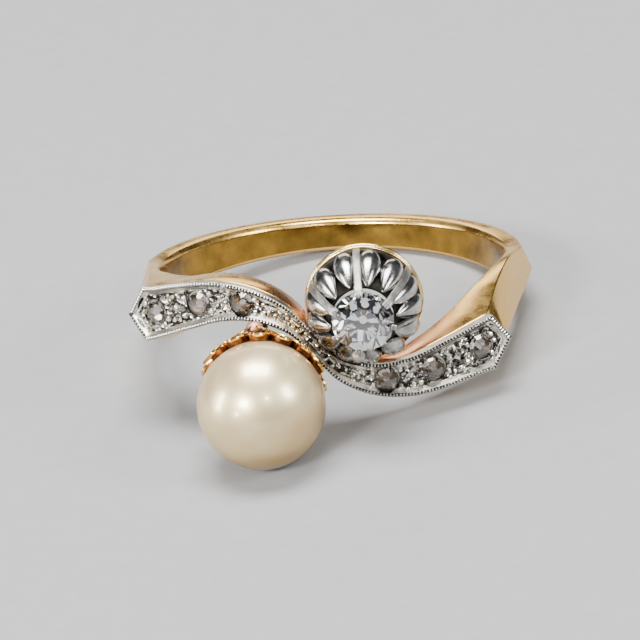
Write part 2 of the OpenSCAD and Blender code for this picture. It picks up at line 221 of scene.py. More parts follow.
def cut_open(piece, stations, count):
    first = set(range(count))
    last = set(range((stations - 1) * count, stations * count))
    bpy.ops.object.mode_set(mode="EDIT")
    bpy.ops.mesh.select_mode(type="FACE")
    bpy.ops.mesh.select_all(action="DESELECT")
    bpy.ops.object.mode_set(mode="OBJECT")
    for face in piece.data.polygons:
        corners = set(face.vertices)
        face.select = bool(corners & first) and bool(corners & last)
    bpy.ops.object.mode_set(mode="EDIT")
    bpy.ops.mesh.delete(type="ONLY_FACE")
    for ring in (first, last):
        bpy.ops.mesh.select_mode(type="VERT")
        bpy.ops.mesh.select_all(action="DESELECT")
        bpy.ops.object.mode_set(mode="OBJECT")
        for i in ring:
            piece.data.vertices[i].select = True
        bpy.ops.object.mode_set(mode="EDIT")
        bpy.ops.mesh.edge_face_add()
    bpy.ops.object.mode_set(mode="OBJECT")


def outward(piece):
    alone(piece)
    bpy.ops.object.mode_set(mode="EDIT")
    bpy.ops.mesh.select_all(action="SELECT")
    bpy.ops.mesh.normals_make_consistent(inside=False)
    bpy.ops.object.mode_set(mode="OBJECT")


def modify(piece, kind, **settings):
    alone(piece)
    modifier = piece.modifiers.new(kind.lower(), kind)
    for key, value in settings.items():
        setattr(modifier, key, value)
    bpy.ops.object.modifier_apply(modifier=modifier.name)


def cut(piece, cutter):
    modify(piece, "BOOLEAN", operation="DIFFERENCE", solver="EXACT", object=cutter)
    bpy.data.objects.remove(cutter)


def join(pieces):
    alone(pieces[0])
    for piece in pieces[1:]:
        piece.select_set(True)
    bpy.ops.object.join()
    return pieces[0]


def settle(piece, *nodes, smooth_angle=40):
    """Lays a piece that was drawn upright in mm on its side in metres, with its place in its mesh."""
    piece.data.transform(lying @ piece.matrix_world)
    piece.matrix_world = Matrix.Identity(4)
    alone(piece)
    bpy.ops.object.shade_smooth_by_angle(angle=math.radians(smooth_angle))
    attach(piece, "root")
    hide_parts(*nodes)


def node(tree, kind, links=None, **settings):
    made = tree.nodes.new(kind)
    for key, value in settings.items():
        setattr(made, key, value)
    for socket, source in (links or {}).items():
        if isinstance(source, bpy.types.NodeSocket):
            tree.links.new(source, made.inputs[socket])
        else:
            made.inputs[socket].default_value = source
    return made


# a colour Mix node's two colours and its result
first_color, second_color, mixed_color = 6, 7, 2


def mix(tree, share, first, second):
    return node(tree, "ShaderNodeMix", {"Factor": share, first_color: first, second_color: second},
                data_type="RGBA").outputs[mixed_color]


def noise(tree, place, scale, **more):
    return node(tree, "ShaderNodeTexNoise", {"Vector": place, "Scale": scale, **more}).outputs["Fac"]


def stretch(tree, value, low, high, start=0.0, end=1.0):
    """Values from low to high, stretched to run from start to end."""
    return node(tree, "ShaderNodeMapRange", {"Value": value, "From Min": low, "From Max": high,
                                             "To Min": start, "To Max": end}).outputs["Result"]


def times_plus(tree, value, times, plus):
    return node(tree, "ShaderNodeMath", {0: value, 1: times, 2: plus}, operation="MULTIPLY_ADD").outputs[0]


def own_place(tree):
    return node(tree, "ShaderNodeTexCoord").outputs["Object"]


def place_in_mm(tree):
    return node(tree, "ShaderNodeVectorMath", {0: own_place(tree), 1: (mm_per_m,) * 3},
                operation="MULTIPLY").outputs[0]


def node_group(name, inputs, outputs):
    """A node group with named inputs and their defaults, and named outputs."""
    tree = bpy.data.node_groups.new(name, "ShaderNodeTree")
    for label, kind, value in inputs:
        socket = tree.interface.new_socket(label, in_out="INPUT", socket_type="NodeSocket" + kind)
        socket.default_value = value
    for label, kind in outputs:
        tree.interface.new_socket(label, in_out="OUTPUT", socket_type="NodeSocket" + kind)
    return tree


def put_out(tree, results):
    out = tree.nodes.new("NodeGroupOutput")
    for label, socket in results.items():
        tree.links.new(socket, out.inputs[label])


scratch_stretch = (0.7, 9.0, 3.0)
scratches_per_mm, dents_per_mm = 2.2, 7.0
scratch_haze, dent_share = 0.12, 0.4
# mm by which the edge of a spot, heat tint on the gold and painted shade on the crown, wanders with the
# patches, and over which it fades
spot_wander, spot_fade = 2.6, 2.4


def worn_metal_group():
    """Soft patches, fine scratches and small dents of a metal that has been worn for years, and one
    coloured spot: heat tint on the gold, painted shade on the crown.
    """
    tree = node_group("worn metal", [
        ("Clean", "Color", (0.8, 0.6, 0.3, 1)),
        ("Worn", "Color", (0.9, 0.7, 0.4, 1)),
        ("Polish", "Float", 0.2),
        ("Haze", "Float", 0.2),
        ("Patch per mm", "Float", 0.6),
        ("Heated", "Color", (0.7, 0.35, 0.18, 1)),
        ("Heat centre", "Vector", (0, 0, 0)),
        ("Heat reach", "Float", 0.0),
    ], [("Color", "Color"), ("Roughness", "Float"), ("Height", "Float")])
    given = tree.nodes.new("NodeGroupInput").outputs
    in_mm = place_in_mm(tree)
    patches = noise(tree, in_mm, given["Patch per mm"], Detail=5.0, Roughness=0.6)
    wear = stretch(tree, patches, 0.35, 0.68)
    stretched = node(tree, "ShaderNodeVectorMath", {0: in_mm, 1: scratch_stretch},
                     operation="MULTIPLY").outputs[0]
    scratches = noise(tree, stretched, scratches_per_mm, Detail=3.0, Roughness=0.7)
    dents = noise(tree, in_mm, dents_per_mm, Detail=2.0)
    away = node(tree, "ShaderNodeVectorMath", {0: in_mm, 1: given["Heat centre"]},
                operation="DISTANCE").outputs["Value"]
    uneven = times_plus(tree, patches, spot_wander, away)
    edge = node(tree, "ShaderNodeMath", {0: given["Heat reach"], 1: spot_fade},
                operation="ADD").outputs[0]
    heat_and_shade = stretch(tree, uneven, given["Heat reach"], edge, 1.0, 0.0)
    worn = mix(tree, wear, given["Clean"], given["Worn"])
    hazed = times_plus(tree, wear, given["Haze"], given["Polish"])
    put_out(tree, {"Color": mix(tree, heat_and_shade, worn, given["Heated"]),
                   "Roughness": times_plus(tree, scratches, scratch_haze, hazed),
                   "Height": times_plus(tree, dents, dent_share, scratches)})
    return tree


worn_metal = worn_metal_group()


def plain_material(name, values):
    """A material, its nodes and its shader, with these plain values on the shader's own sockets."""
    made = bpy.data.materials.new(name)
    made.use_nodes = True
    shader = made.node_tree.nodes["Principled BSDF"]
    for socket, value in values.items():
        shader.inputs[socket].default_value = value
    return made, made.node_tree, shader


def metal(name, clean, worn, polish, haze, patch=0.6, depth=0.02, heat_and_shade=None):
    """A worn metal: clean and worn colour, roughness where polished, haze added where worn, patches
    per mm, strength of the dents, and the colour, place and reach in mm of a spot of heat tint,
    which on the crown is painted shade."""
    made, tree, shader = plain_material(name, {"Metallic": 1.0})
    wear = node(tree, "ShaderNodeGroup", {"Clean": (*clean, 1), "Worn": (*worn, 1), "Polish": polish,
                                          "Haze": haze, "Patch per mm": patch}, node_tree=worn_metal)
    if heat_and_shade:
        color, place, reach = heat_and_shade
        wear.inputs["Heated"].default_value = (*color, 1)
        wear.inputs["Heat centre"].default_value = (lying @ place) * mm_per_m
        wear.inputs["Heat reach"].default_value = reach
    bump = node(tree, "ShaderNodeBump", {"Height": wear.outputs["Height"], "Strength": depth,
                                         "Distance": 0.00005})
    tree.links.new(wear.outputs["Color"], shader.inputs["Base Color"])
    tree.links.new(wear.outputs["Roughness"], shader.inputs["Roughness"])
    tree.links.new(bump.outputs["Normal"], shader.inputs["Normal"])
    return made


def steps(start, end, count):
    """Even steps from start, itself left out, to end."""
    return [start + (end - start) * i / count for i in range(1, count + 1)]


# degrees from the ridge to the sections close beside it
ridge_side = 1
half_round = (steps(0, corner_a, 40) + steps(corner_a, point_a, 4)
              + steps(point_a, ridge_a - ridge_side, 30) + [ridge_a, ridge_a + ridge_side]
              + steps(ridge_a + ridge_side, 180, 50))
round_angles = [-angle for angle in reversed(half_round[:-1])] + [0.0] + half_round

rim_r, collet_l = 2.84, 0.5
crown_reach, crown_dir, crown_turn, crown_nod, finger_wall = 3.02, 35.8, 4.0, 2.5, 0.22
crown_place = Vector((crown_reach * math.cos(math.radians(crown_dir)), -(bore_r + finger_wall),
                      crown_reach * math.sin(math.radians(crown_dir))))
at_crown = Matrix.Translation(crown_place) @ turned(crown_turn, "Z") @ turned(90 + crown_nod, "X")
crown_front = 0.98
pearl_r, cup_wall, joint_gap = 3.1, 0.3, 0.03
cup_r = pearl_r + joint_gap + cup_wall
pearl_reach, pearl_dir, cup_nod, post_rise = 3.32, 223.0, 24.0, 0.726
pearl_x = pearl_reach * math.cos(math.radians(pearl_dir))
pearl_z = pearl_reach * math.sin(math.radians(pearl_dir))
pearl_y = -math.sqrt((bore_r + post_rise) ** 2 - pearl_x ** 2) - cup_r
pearl_place = Vector((pearl_x, pearl_y, pearl_z))
at_pearl = Matrix.Translation(pearl_place) @ turned(90 + cup_nod, "X")
# room for the crown, from behind its collet to its claws, cut out of the band and the facing
room_low, room_high, band_room, room_sides = -0.5, 2.75, 0.09, 96


def crown_cutter(radius):
    cutter = added(bpy.ops.mesh.primitive_cylinder_add, vertices=room_sides, radius=radius,
                   depth=room_high - room_low)
    cutter.data.transform(at_crown @ Matrix.Translation((0, 0, (room_low + room_high) / 2)))
    return cutter


def pearl_cutter():
    cutter = globe(room_sides, room_sides // 2, cup_r + joint_gap)
    cutter.data.transform(at_pearl)
    return cutter


copper = (0.72, 0.33, 0.15)
yellow_gold = metal("yellow gold", (0.84, 0.50, 0.11), (0.88, 0.58, 0.19), 0.14, 0.16,
                    heat_and_shade=(copper, crown_place, 4.8))
shaded_inner_gold = metal("tarnished gold", (0.42, 0.24, 0.04), (0.17, 0.095, 0.02), 0.08, 0.08)
# the two strips of the gold's section that face the finger take the second metal, a darker gold that is
# painted shade
finger_strips = {8: 1, 9: 1}
band = loft("band", round_angles, gold_section, True, [yellow_gold, shaded_inner_gold], finger_strips)
modify(band, "BEVEL", width=0.09, segments=3, limit_method="ANGLE", angle_limit=math.radians(28),
       use_clamp_overlap=True)
cut(band, crown_cutter(rim_r + band_room))
cut(band, pearl_cutter())
settle(band, "shank")

# The facing: a thin platinum strip soldered on the gold. Along its edge runs a fine lip and a row of
# rolled milgrain, then a ramp goes down to a sunk field, which was cut up by hand into bead grains,
# lozenges and bright bars that hold the stones and glitter between them.
lip_w, groove_w, ramp_w = 0.03, 0.17, 0.19
lip_t, groove_t, rail_t, field_t = 0.05, 0.13, 0.03, 0.2
groove_end = lip_w + groove_w
ramp_end = groove_end + ramp_w
edge_t, lip_round, wall_w = 0.06, 0.015, 0.01
# how far in from the edge, how deep under the face
edge_profile = [(0.0, edge_t), (lip_round, lip_t), (lip_w, lip_t), (lip_w + wall_w, groove_t),
                (groove_end, groove_t), (groove_end + wall_w, rail_t), (ramp_end, field_t)]
corner_half = width(corner_a) / 2
end_long = math.radians(point_a - corner_a) * face_r((point_a + corner_a) / 2)
end_side = math.hypot(end_long, corner_half)
end_cos, end_sin = end_long / end_side, corner_half / end_side
# share by which the middle line falls back between the corner and the point
point_fall = 0.11
# the least half width at a point, and the step that keeps the profile's lines apart there
least_half, least_step = 0.02, 0.001


def plate_middle(angle):
    if abs(angle) <= corner_a:
        return middle(angle)
    share = (abs(angle) - corner_a) / (point_a - corner_a)
    return middle(math.copysign(corner_a, angle)) * (1 - point_fall * share)


def edge_room(angle):
    """Half the width between the long edges here, and the distance to the slanting end edge."""
    before_corner = math.radians(corner_a - abs(angle)) * face_r(angle) * end_sin
    return width(min(abs(angle), corner_a)) / 2, before_corner


def line_half(angle, inward):
    """Half the width between the two lines that run this far inside the strip's edge."""
    half, before_corner = edge_room(angle)
    return half - max(inward, (inward - before_corner) / end_cos)


def deepest(angle):
    """How far inside the edge the middle line lies."""
    half, before_corner = edge_room(angle)
    return min(half, before_corner + half * end_cos)


def depth_at(inward):
    for (near, shallow), (far, deep) in zip(edge_profile, edge_profile[1:]):
        if inward <= far:
            return shallow + (deep - shallow) * (inward - near) / (far - near)
    return field_t


def plate_section(angle):
    face = face_r(angle)
    mid = plate_middle(angle)
    room = max(deepest(angle), least_half)
    side = [(face - plate_t + joint_gap, max(line_half(angle, 0), least_half))]
    for k, (inward, _) in enumerate(edge_profile):
        apart = least_step * (len(edge_profile) + 1 - k)
        held = min(inward, room - apart)
        side.append((face - depth_at(held), max(line_half(angle, held), apart)))
    low = [(radius, mid - out) for radius, out in side]
    high = [(radius, mid + out) for radius, out in reversed(side)]
    return low + high


def painted_glints_group():
    """The marks of a graver: small cuts, each with a bump and a random colour from dark to bright:
    painted glints and painted shade in place of the light that cuts tilted each their own way catch.
    """
    tree = node_group("graver cuts", [
        ("Cuts per mm", "Float", 5.0),
        ("Dark", "Color", (0.05, 0.05, 0.04, 1)),
        ("Bright", "Color", (0.7, 0.7, 0.65, 1)),
    ], [("Color", "Color"), ("Height", "Float")])
    given = tree.nodes.new("NodeGroupInput").outputs
    cells = node(tree, "ShaderNodeTexVoronoi", {"Vector": place_in_mm(tree),
                                                "Scale": given["Cuts per mm"]}).outputs
    pick = node(tree, "ShaderNodeSeparateColor", {"Color": cells["Color"]}).outputs["Red"]
    share = stretch(tree, pick, 0.35, 0.9)
    put_out(tree, {"Color": mix(tree, share, given["Dark"], given["Bright"]),
                   "Height": cells["Distance"]})
    return tree


painted_glints = painted_glints_group()


def glint_painted_metal(name, dark, bright, per_mm):
    made, tree, shader = plain_material(name, {"Metallic": 1.0, "Roughness": 0.16})
    marks = node(tree, "ShaderNodeGroup", {"Cuts per mm": per_mm, "Dark": (*dark, 1),
                                           "Bright": (*bright, 1)}, node_tree=painted_glints)
    bump = node(tree, "ShaderNodeBump", {"Height": marks.outputs["Height"], "Strength": 0.9,
                                         "Distance": 0.0001})
    tree.links.new(marks.outputs["Color"], shader.inputs["Base Color"])
    tree.links.new(bump.outputs["Normal"], shader.inputs["Normal"])
    return made


platinum = metal("platinum", (0.42, 0.39, 0.33), (0.66, 0.62, 0.55), 0.20, 0.16, 1.5, 0.05)
# painted shade: a near black platinum for the grooves, the pocket walls, the hollows and the crown's wall
# and rim
shade_platinum = metal("blackened platinum", (0.014, 0.013, 0.011), (0.045, 0.04, 0.033),
                      0.35, 0.15, 2.0, 0.1)
# painted glints and painted shade: the sunk field's cuts are coloured at random from near black to pale
glint_painted_field = glint_painted_metal("cut platinum field", (0.035, 0.032, 0.026), (0.50, 0.47, 0.41), 5.0)
# painted highlight: the grains' bright cut platinum is paler than the plain platinum; their lower
# roughness is real polish
highlight_platinum = metal("bright cut platinum", (0.80, 0.78, 0.72), (0.92, 0.90, 0.85),
                        0.10, 0.1, 2.0, 0.03)
facing_metals = [platinum, shade_platinum, glint_painted_field, highlight_platinum]
plain_face, shade_face, field_face, highlight_face = range(4)
# the section's strips in the two grooves take painted shade, and the one between the ramps is the field
plate_strips = {3: shade_face, 4: shade_face, 5: shade_face, 7: field_face,
                9: shade_face, 10: shade_face, 11: shade_face}
near_corner = 3
half_plate = (steps(0, corner_a - near_corner, 56) + steps(corner_a - near_corner, corner_a, 8)
              + steps(corner_a, point_a, 12))
plate_angles = [-angle for angle in reversed(half_plate)] + [0.0] + half_plate
plate = loft("platinum_facing", plate_angles, plate_section, False, facing_metals, plate_strips)


def lean(value, angle):
    """How many degrees a value rises along the face at this angle."""
    rise = value(angle + 0.5) - value(angle - 0.5)
    return math.degrees(math.atan2(rise, math.radians(1) * face_r(angle)))


def in_one_metal(piece, metals, index):
    """Gives every face of a piece the same one of these metals."""
    paint(piece, metals)
    for face in piece.data.polygons:
        face.material_index = index
    return piece


rose_r, rose_shares = 0.61, (0.365, 0.61, 0.86)
rose_angles = [side * share * point_a for side in (-1, 1) for share in rose_shares]
# a pocket's room round its stone at the mouth and the floor, its height, and its middle over the gold
mouth_room, floor_room, pocket_h, pocket_lift = 0.13, 0.02, 0.6, 0.43
# the pocket's wall takes painted shade, and its floor, the face that looks this much along its axis, is
# plain
floor_normal = 0.9
for angle in rose_angles:
    pocket = added(bpy.ops.mesh.primitive_cone_add, vertices=40, radius1=rose_r + mouth_room,
                   radius2=rose_r + floor_room, depth=pocket_h)
    in_one_metal(pocket, facing_metals, shade_face)
    for face in pocket.data.polygons:
        if face.normal.z > floor_normal:
            face.material_index = plain_face
    pocket_place = polar(angle, face_r(angle) - plate_t + pocket_lift, middle(angle))
    pocket.data.transform(Matrix.Translation(pocket_place)
                          @ turned(angle - lean(face_r, angle), "Z") @ turned(-90, "X"))
    cut(plate, pocket)
cut(plate, crown_cutter(crown_front * rim_r + joint_gap))
cut(plate, pearl_cutter())


def grain_shape(kind):
    """A grain of unit size: a round bead, a four sided lozenge, or a bar that lies along the row."""
    if kind == "bead":
        made = globe(7, 5)
    elif kind == "lozenge":
        made = added(bpy.ops.mesh.primitive_cone_add, vertices=4, radius1=1, radius2=0.25, depth=1)
        made.data.transform(turned(90, "X"))
    else:
        made = added(bpy.ops.mesh.primitive_cylinder_add, vertices=6, radius=1, depth=2)
        made.data.transform(turned(90, "Y"))
    return in_one_metal(made, facing_metals, highlight_face)


grain_shapes = {kind: grain_shape(kind) for kind in ("bead", "lozenge", "bar")}
from_crown = at_crown.inverted()
crown_clear, pearl_clear = 0.06, 0.1
grains = []


def clear_of_heads(place):
    local = from_crown @ place
    beside_crown = math.hypot(local.x, local.y) > crown_front * rim_r + crown_clear
    return beside_crown and (place - pearl_place).length > cup_r + pearl_clear


def grain(kind, place, axes, size):
    if not clear_of_heads(place):
        return
    copy = bpy.data.objects.new("grain", grain_shapes[kind].data.copy())
    bpy.context.collection.objects.link(copy)
    copy.data.transform(Matrix.Translation(place) @ axes.to_4x4() @ Matrix.Diagonal((*size, 1)))
    grains.append(copy)


def on_face(angle, along, across, deep, turn):
    """Place and axes on the face: along and across in mm from the middle line at this angle, this
    deep under the face, turned in the face by some degrees."""
    side = math.copysign(1, angle)
    spot = angle + side * math.degrees(along / face_r(angle))
    place = polar(spot, face_r(spot) - deep, plate_middle(spot) + across)
    axes = (turned(spot - lean(face_r, spot), "Z", 3)
            @ turned(side * turn - lean(plate_middle, spot), "Y", 3))
    return place, axes


row_steps = 6000


def milgrain(side, start, end, inward, deep, pitch, size):
    """A row of beads from one angle to another, this far inside one edge and this deep."""
    last = None
    travelled = 0.0
    for i in range(row_steps + 1):
        angle = start + (end - start) * i / row_steps
        half = line_half(angle, inward)
        if half < 0:
            continue
        place = polar(angle, face_r(angle) - deep, plate_middle(angle) + side * half)
        if last is not None:
            ahead = (place - last).normalized()
            travelled += (place - last).length
            if travelled >= pitch:
                travelled -= pitch
                out = polar(angle, 1)
                axes = Matrix((ahead, -out, ahead.cross(-out))).transposed()
                grain("bead", place, axes, size)
        last = place


# how far in from the edge, how deep, from bead to bead, half sizes of a bead along, out and across
edge_row = (lip_w + groove_w / 2, 0.07, 0.162, (0.058, 0.088, 0.092))
end_row = (ramp_end - 0.02, 0.15, 0.13, (0.045, 0.09, 0.075))
end_row_a = corner_a - 1.5
for side in (-1, 1):
    milgrain(side, -point_a, point_a, *edge_row)
    for end in (-1, 1):
        milgrain(side, end * end_row_a, end * point_a, *end_row)

# between two stones, as seen from the gap's middle: kind, along, across, size along, out, across, turn
gap_cuts = [
    ("lozenge", 0.00, 0.04, 0.34, 0.36, 0.36, 0),
    ("bead", -0.50, 0.44, 0.16, 0.20, 0.16, 0),
    ("bead", 0.50, -0.42, 0.17, 0.21, 0.15, 0),
    ("bead", 0.52, 0.42, 0.15, 0.20, 0.16, 0),
    ("bead", -0.48, -0.44, 0.16, 0.19, 0.15, 0),
    ("bead", -0.16, 0.56, 0.12, 0.17, 0.12, 0),
    ("bead", 0.18, 0.60, 0.13, 0.16, 0.12, 0),
    ("bead", -0.17, -0.58, 0.12, 0.17, 0.12, 0),
    ("bead", 0.15, -0.54, 0.14, 0.17, 0.13, 0),
    ("lozenge", -0.43, 0.02, 0.12, 0.26, 0.17, 0),
    ("lozenge", 0.44, -0.02, 0.12, 0.26, 0.18, 0),
    ("bar", -0.36, 0.74, 0.17, 0.16, 0.06, -8),
    ("bar", 0.40, -0.72, 0.18, 0.16, 0.06, 6),
    ("bead", 0.44, 0.74, 0.10, 0.15, 0.10, 0),
    ("bead", -0.42, -0.74, 0.10, 0.15, 0.10, 0),
]
# beside the stone nearest the crossing, from its middle and counted away from the crossing
crossing_cuts = [
    ("bead", -0.70, 0.30, 0.14, 0.19, 0.14, 0),
    ("bead", -0.70, -0.30, 0.14, 0.18, 0.14, 0),
    ("lozenge", -0.88, 0.00, 0.20, 0.28, 0.16, 0),
    ("bead", -1.13, 0.19, 0.12, 0.17, 0.12, 0),
    ("bead", -1.16, -0.18, 0.12, 0.17, 0.12, 0),
    ("bar", -1.47, 0.19, 0.26, 0.15, 0.06, 5),
    ("bead", -1.40, -0.06, 0.12, 0.17, 0.12, 0),
    ("bead", -1.70, -0.10, 0.11, 0.16, 0.11, 0),
    ("bar", -2.05, -0.15, 0.24, 0.15, 0.06, -5),
    ("bead", -1.98, 0.10, 0.11, 0.16, 0.11, 0),
    ("bead", -2.30, 0.06, 0.10, 0.15, 0.10, 0),
    ("bar", -2.68, 0.12, 0.22, 0.14, 0.06, 4),
    ("bead", -2.60, -0.09, 0.10, 0.15, 0.09, 0),
    ("bead", -2.90, -0.05, 0.09, 0.14, 0.09, 0),
    ("bead", -3.16, 0.06, 0.09, 0.14, 0.09, 0),
    ("bar", -3.42, -0.08, 0.18, 0.13, 0.05, 3),
    ("bead", -3.48, 0.08, 0.08, 0.13, 0.08, 0),
]
# in the pointed ends, from the corners and counted towards the point
left_end_cuts = [
    ("lozenge", 0.36, -0.10, 0.20, 0.20, 0.13, 0),
    ("lozenge", -0.16, -0.86, 0.20, 0.20, 0.15, 35),
    ("lozenge", -0.06, 0.98, 0.13, 0.20, 0.17, -35),
    ("bead", 0.02, 0.10, 0.14, 0.20, 0.14, 0),
    ("bead", -0.12, 0.50, 0.15, 0.20, 0.15, 0),
    ("bead", -0.14, -0.50, 0.15, 0.20, 0.15, 0),
    ("bar", 0.30, -0.42, 0.26, 0.10, 0.04, -56),
]
right_end_cuts = [
    ("bar", 0.12, 0.66, 0.30, 0.12, 0.035, 56),
    ("bar", 0.22, 0.58, 0.32, 0.12, 0.035, 56),
    ("bar", 0.02, 0.58, 0.26, 0.12, 0.035, 56),
    ("lozenge", 0.16, -0.56, 0.24, 0.18, 0.12, -56),
    ("lozenge", 0.34, -0.22, 0.18, 0.18, 0.11, -40),
    ("lozenge", -0.10, -0.90, 0.18, 0.18, 0.13, -30),
    ("bead", 0.02, 0.10, 0.14, 0.20, 0.14, 0),
    ("bead", -0.12, -0.46, 0.15, 0.20, 0.15, 0),
    ("bead", -0.12, 0.46, 0.15, 0.20, 0.15, 0),
]
# the long bright wedges beside the left arm's last stone
left_wedges = [
    ("lozenge", -1.30, 0.40, 0.62, 0.26, 0.12, 5),
    ("lozenge", -2.10, 0.28, 0.48, 0.24, 0.08, 5),
    ("lozenge", -0.72, -0.56, 0.40, 0.24, 0.10, -4),
]
first, second, third = (share * point_a for share in rose_shares)
end_depth, hollow_lift, hollow_half_t = 0.12, 0.02, 0.12


def cuts(rows, angle, deep):
    for kind, along, across, *size, turn in rows:
        place, axes = on_face(angle, along, across, deep, turn)
        grain(kind, place, axes, size)


for side in (-1, 1):
    cuts(gap_cuts, side * (first + second) / 2, field_t)
    cuts(gap_cuts, side * (second + third) / 2, field_t)
    cuts(crossing_cuts, side * first, field_t)
cuts(left_wedges, -first, field_t)
cuts(left_end_cuts, -corner_a, end_depth)
cuts(right_end_cuts, corner_a, end_depth)
# the leaf shaped hollows beside the points, lined with painted shade: arm, along, across, half length,
# half width, turn
hollows = [
    (-1, 0.20, 0.54, 0.40, 0.10, 56),
    (-1, 0.26, -0.46, 0.30, 0.08, -56),
    (1, 0.20, -0.50, 0.34, 0.08, -56),
    (1, -0.02, 0.84, 0.20, 0.07, 50),
]
for side, along, across, half_long, half_wide, turn in hollows:
    place, axes = on_face(side * corner_a, along, across, end_depth - hollow_lift, turn)
    hollow = globe(20, 10)
    in_one_metal(hollow, facing_metals, shade_face)
    hollow.data.transform(Matrix.Translation(place) @ axes.to_4x4()
                          @ Matrix.Diagonal((half_long, hollow_half_t, half_wide, 1)))
    cut(plate, hollow)
for model in grain_shapes.values():
    bpy.data.objects.remove(model)
facing = join([plate] + grains)
settle(facing, "platinum_plate")

# The six small rose cuts: old hand cut diamonds, flat behind and domed in front, each pushed into a
# pocket of the facing and held by bead grains raised from the field round it.
def gem(name, tint, depth_color, bending, rough=0.0, cloud=0.0):
    """Clear cut stone: uneven, faintly clouded, with the colour of what is behind it."""
    made, tree, shader = plain_material(name, {"IOR": bending, "Transmission Weight": 1.0,
                                               "Roughness": rough})
    veil = noise(tree, own_place(tree), 1400.0, Detail=4.0)
    share = stretch(tree, veil, 0.35, 0.65)
    tree.links.new(mix(tree, share, (*tint, 1), (*depth_color, 1)), shader.inputs["Base Color"])
    if cloud:
        tree.links.new(times_plus(tree, share, cloud, rough), shader.inputs["Roughness"])
    return made


rose_stone = gem("rose cut stone", (0.76, 0.69, 0.61), (0.46, 0.39, 0.32), 2.0, 0.03, 0.08)
for number in range(1, len(rose_angles) + 1):
    paint(frame["nodes"][f"rose_{number}"], [rose_stone])

# The collet: two thin gold wires and a short gold tube between them, soldered together as a ring and
# soldered again behind the crown, where they show as its gold edge.
def wire_ring(radius, height, thick):
    made = added(bpy.ops.mesh.primitive_torus_add, major_segments=128, minor_segments=12,
                 major_radius=radius, minor_radius=thick, location=(0, 0, height))
    bpy.ops.object.transform_apply(location=True, rotation=True, scale=True)
    return made


def tube(outer, inner, low, high):
    made = added(bpy.ops.mesh.primitive_cylinder_add, vertices=128, radius=outer, depth=high - low,
                 end_fill_type="NOTHING", location=(0, 0, (low + high) / 2))
    bpy.ops.object.transform_apply(location=True, rotation=True, scale=True)
    modify(made, "SOLIDIFY", thickness=outer - inner, offset=-1.0)
    return made


tube_in, tube_inner_share, tube_low, tube_short = 0.11, 0.8, 0.06, 0.05
# how far inside the crown's rim, height over the collet's back, half thickness
collet_wires = [
    (0.10, 0.12, 0.11),
    (0.11, collet_l - 0.12, 0.10),
]
collet = join([tube(rim_r - tube_in, tube_inner_share * rim_r, tube_low, collet_l - tube_short)]
              + [wire_ring(rim_r - inside, height, thick) for inside, height, thick in collet_wires])
collet.name = "collet"
collet.data.transform(at_crown)
paint(collet, [metal("collet gold", (0.82, 0.54, 0.17), (0.88, 0.64, 0.28), 0.12, 0.1)])
settle(collet, "diamond_collet")

# The crown: cast platinum. Egg shaped lobes stand in a ring on a low wall, so that the small stone
# looks larger, and six flat claws run up over them and are split into fingers over the stone.
claw_base = collet_l + joint_gap
# degrees round the crown's axis
lobe_angles = (1.5, 24.5, 50.5, 79.5, 109, 139, 167, 193, 219, 246, 274, 304.5, 335)
claw_angles, slim_claw_angles = (36, 94, 154, 259), (-10, 206)
ball_angle, ball_r = 259, 0.33

# painted shade: round the stone's seat the crown's platinum turns near black, in place of the shade in the
# hollow under the stone
seat_rise, seat_shade_reach = 2.2, 2.0
seat_shade = (0.05, 0.047, 0.042)
seat_place = at_crown @ Vector((0, 0, claw_base + seat_rise))
crown_platinum = metal("crown platinum", (0.50, 0.49, 0.46), (0.78, 0.77, 0.74), 0.08, 0.14, 1.5, 0.12,
                       heat_and_shade=(seat_shade, seat_place, seat_shade_reach))
claw_platinum = metal("claw platinum", (0.26, 0.25, 0.22), (0.48, 0.47, 0.43), 0.28, 0.14, 3.0, 0.4)
crown_metals = [crown_platinum, shade_platinum, claw_platinum]
lobe_metal, wall_shade_metal, claw_metal = range(3)

lobe_half, lobe_lean = 1.17, 27
lobe_reach, lobe_rise, lobe_flat = 2.13, 1.24, 0.85
# half width at the egg's middle, what it loses towards the stone, and what it loses at both ends
egg_half, egg_taper, egg_round = 0.55, 0.20, 0.09


def lobe():
    """An egg, wide and round at the crown's rim and narrow towards the stone."""
    made = globe(24, 18)
    for point in made.data.vertices:
        along = point.co.z
        swell = egg_half - egg_taper * along - egg_round * along * along
        point.co = Vector((point.co.x * lobe_flat * swell, point.co.y * swell, along * lobe_half))
    made.data.transform(Matrix.Translation((lobe_reach, 0, claw_base + lobe_rise))
                        @ turned(-lobe_lean, "Y"))
    return in_one_metal(made, crown_metals, lobe_metal)


def turned_copy(piece, angle):
    copy = bpy.data.objects.new(piece.name, piece.data.copy())
    bpy.context.collection.objects.link(copy)
    copy.data.transform(turned(angle, "Z"))
    return copy


# distance from the crown's axis, height over the collet, half width
claw_rows = [
    (2.69, 0.10, 0.21),
    (2.70, 0.50, 0.21),
    (2.62, 1.05, 0.21),
    (2.36, 1.65, 0.20),
    (2.02, 2.20, 0.19),
    (1.80, 2.62, 0.21),
    (1.62, 2.92, 0.24),
    (1.46, 3.04, 0.22),
]
# thickness, cells in half the width, and the shares of the width that wide and slim claws take
claw_t, claw_halves, claw_wide, claw_slim = 0.2, 2, 0.86, 0.45
finger_gap, finger_reach, finger_rise, finger_nod = 0.15, 1.52, 3.03, 24
finger_half = (0.22, 0.075, 0.08, 1)


